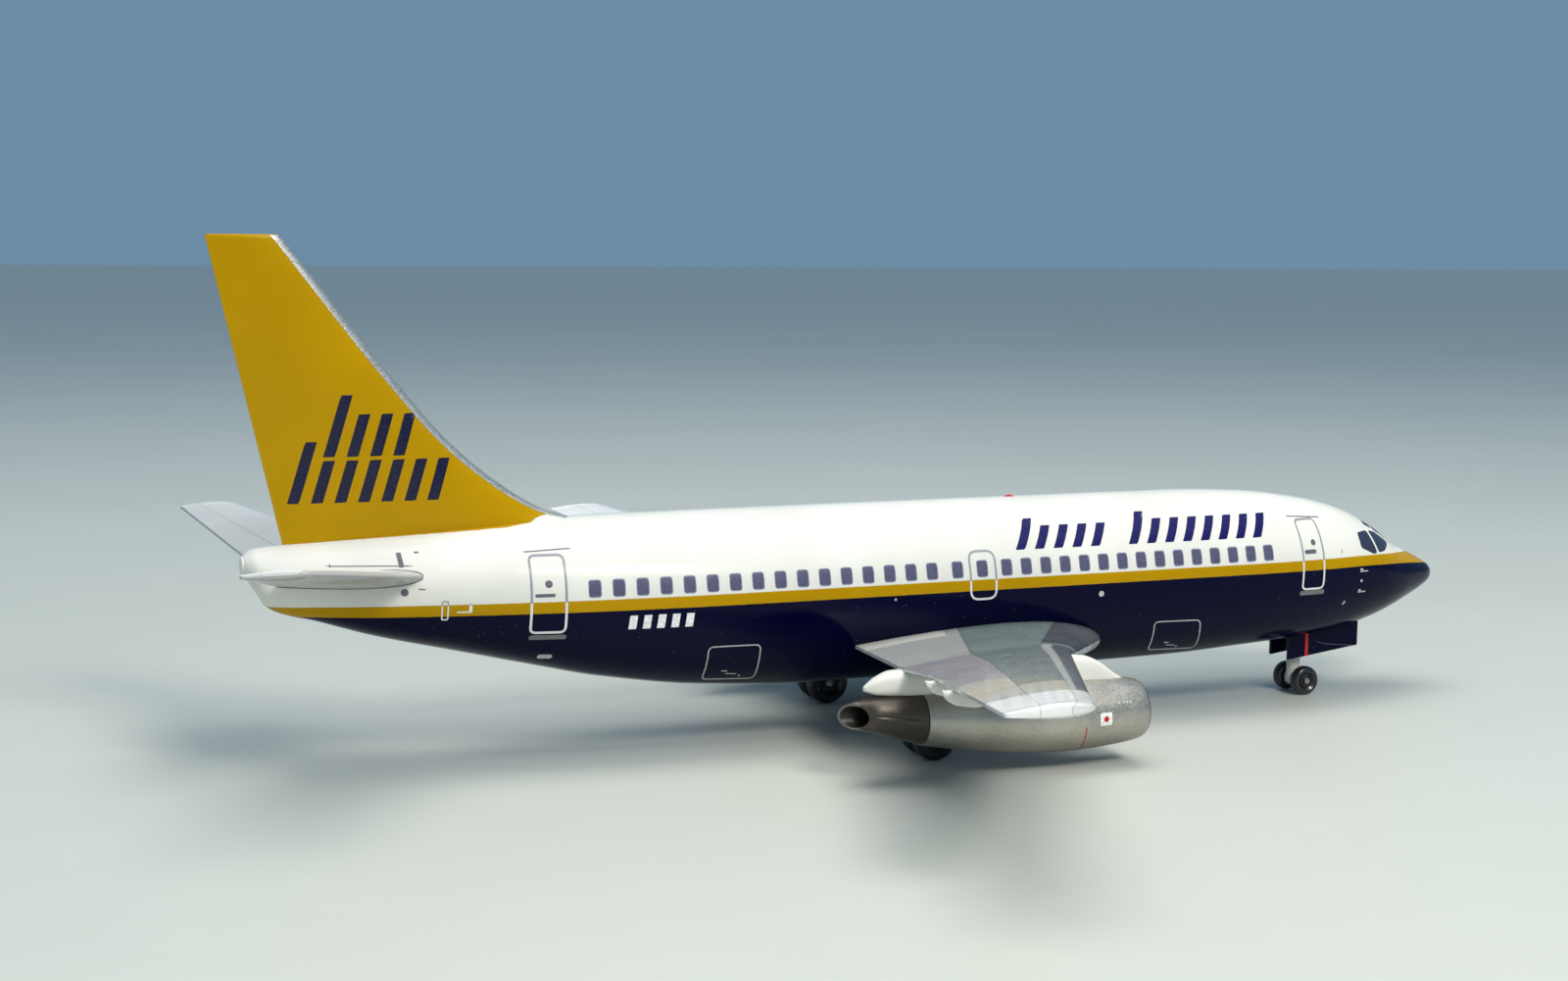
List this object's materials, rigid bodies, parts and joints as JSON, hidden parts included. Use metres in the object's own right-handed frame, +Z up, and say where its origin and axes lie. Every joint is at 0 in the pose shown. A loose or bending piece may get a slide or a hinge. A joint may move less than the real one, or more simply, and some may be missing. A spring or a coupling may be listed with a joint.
{
  "type": "desktop airliner model",
  "caption": "Small die-cast twin-jet airliner model standing on rolling landing gear wheels, with separate wings, tailplanes, engine pods, gear legs and doors.",
  "frame": {"origin": "on the ground under the centre of the whole model's box, midway between the nose tip and the tailplane tips, on the middle plane", "axes": "+X to the nose, +Y to the left wing tip, +Z up"},
  "size_m": [0.0764, 0.071, 0.0282],
  "materials": {
    "hull_enamel": "gloss enamel on zinc alloy: white above, gold line, navy below, gold fin",
    "white_enamel": "gloss white enamel on zinc alloy",
    "wing_enamel": "satin grey enamel with a darker wing box panel and a white tip",
    "silver_lacquer": "silver metallic lacquer with a fine flake",
    "dark_bronze_lacquer": "dark bronze metallic lacquer",
    "gear_enamel": "satin light grey enamel",
    "navy_enamel": "gloss navy enamel with a red stripe",
    "axle_steel": "plain steel",
    "wheel_plastic": "black moulded plastic",
    "tyre_rubber": "smooth black rubber"
  },
  "bodies": {
    "airframe": {"fuselage_and_fin": "hull_enamel", "wing_left": "wing_enamel", "wing_right": "wing_enamel", "tailplane_left": "white_enamel", "tailplane_right": "white_enamel", "engine_pylon_left": "white_enamel", "engine_pylon_right": "white_enamel", "engine_cowl_left": "silver_lacquer", "engine_cowl_right": "silver_lacquer", "engine_fan_left": "dark_bronze_lacquer", "engine_fan_right": "dark_bronze_lacquer", "exhaust_sleeve_left": "dark_bronze_lacquer", "exhaust_sleeve_right": "dark_bronze_lacquer", "nose_gear_leg": "gear_enamel", "nose_gear_door_left": "navy_enamel", "nose_gear_door_right": "navy_enamel", "main_gear_leg_left": "gear_enamel", "main_gear_leg_right": "gear_enamel"},
    "nose_wheelset": {"nose_axle": "axle_steel", "nose_hub_left": "wheel_plastic", "nose_hub_right": "wheel_plastic", "nose_tyre_left": "tyre_rubber", "nose_tyre_right": "tyre_rubber"},
    "main_left_wheelset": {"main_left_axle": "axle_steel", "main_left_hub_inner": "wheel_plastic", "main_left_hub_outer": "wheel_plastic", "main_left_tyre_inner": "tyre_rubber", "main_left_tyre_outer": "tyre_rubber"},
    "main_right_wheelset": {"main_right_axle": "axle_steel", "main_right_hub_inner": "wheel_plastic", "main_right_hub_outer": "wheel_plastic", "main_right_tyre_inner": "tyre_rubber", "main_right_tyre_outer": "tyre_rubber"}
  },
  "joints": [
    {"name": "nose_wheels_roll", "type": "hinge", "parent": "airframe", "child": "nose_wheelset", "pos_m": [0.02829, 0, 0.0009], "axis": [0, 1, 0], "continuous": true},
    {"name": "main_left_wheels_roll", "type": "hinge", "parent": "airframe", "child": "main_left_wheelset", "pos_m": [-0.00095, 0.00765, 0.0013], "axis": [0, 1, 0], "continuous": true},
    {"name": "main_right_wheels_roll", "type": "hinge", "parent": "airframe", "child": "main_right_wheelset", "pos_m": [-0.00095, -0.00765, 0.0013], "axis": [0, 1, 0], "continuous": true}
  ]
}
